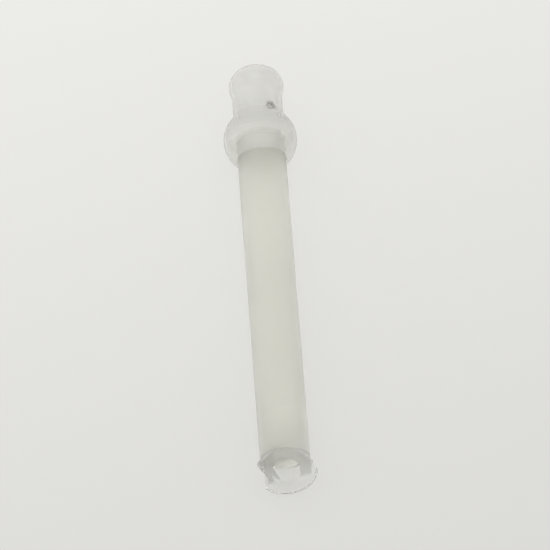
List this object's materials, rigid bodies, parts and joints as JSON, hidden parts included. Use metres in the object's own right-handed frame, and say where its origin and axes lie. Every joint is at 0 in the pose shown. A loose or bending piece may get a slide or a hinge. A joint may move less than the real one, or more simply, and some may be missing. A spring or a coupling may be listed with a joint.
{
  "type": "saliva ejector tip",
  "caption": "Straight frosted suction tube with a clear domed head and guard bulb at the mouth end and a clear bevel-cut ferrule with a flared rim at the hose end.",
  "frame": {"origin": "on the tip's axis, at the ferrule's shoulder where the tube's hose end seats, inside the hose bore", "axes": "+Y along the tip towards the mouth end, +Z the side that the vent and the bevel face, +X to the right when looking along +Y"},
  "size_m": [0.0098, 0.0635, 0.0098],
  "materials": {
    "frosted_tube": "translucent, fine frosted",
    "clear_head": "clear, smooth moulded",
    "clear_ferrule": "clear, smooth moulded, cut edges"
  },
  "bodies": {
    "ferrule": {"hose_ferrule": "clear_ferrule"},
    "tube": {"suction_tube": "frosted_tube"},
    "head": {"inlet_head": "clear_head"}
  },
  "joints": [
    {"name": "tube_pull", "type": "slide", "parent": "ferrule", "child": "tube", "axis": [0, 1, 0], "range_m": [0, 0.009]},
    {"name": "head_pull", "type": "slide", "parent": "tube", "child": "head", "axis": [0, 1, 0], "range_m": [0, 0.006]}
  ]
}
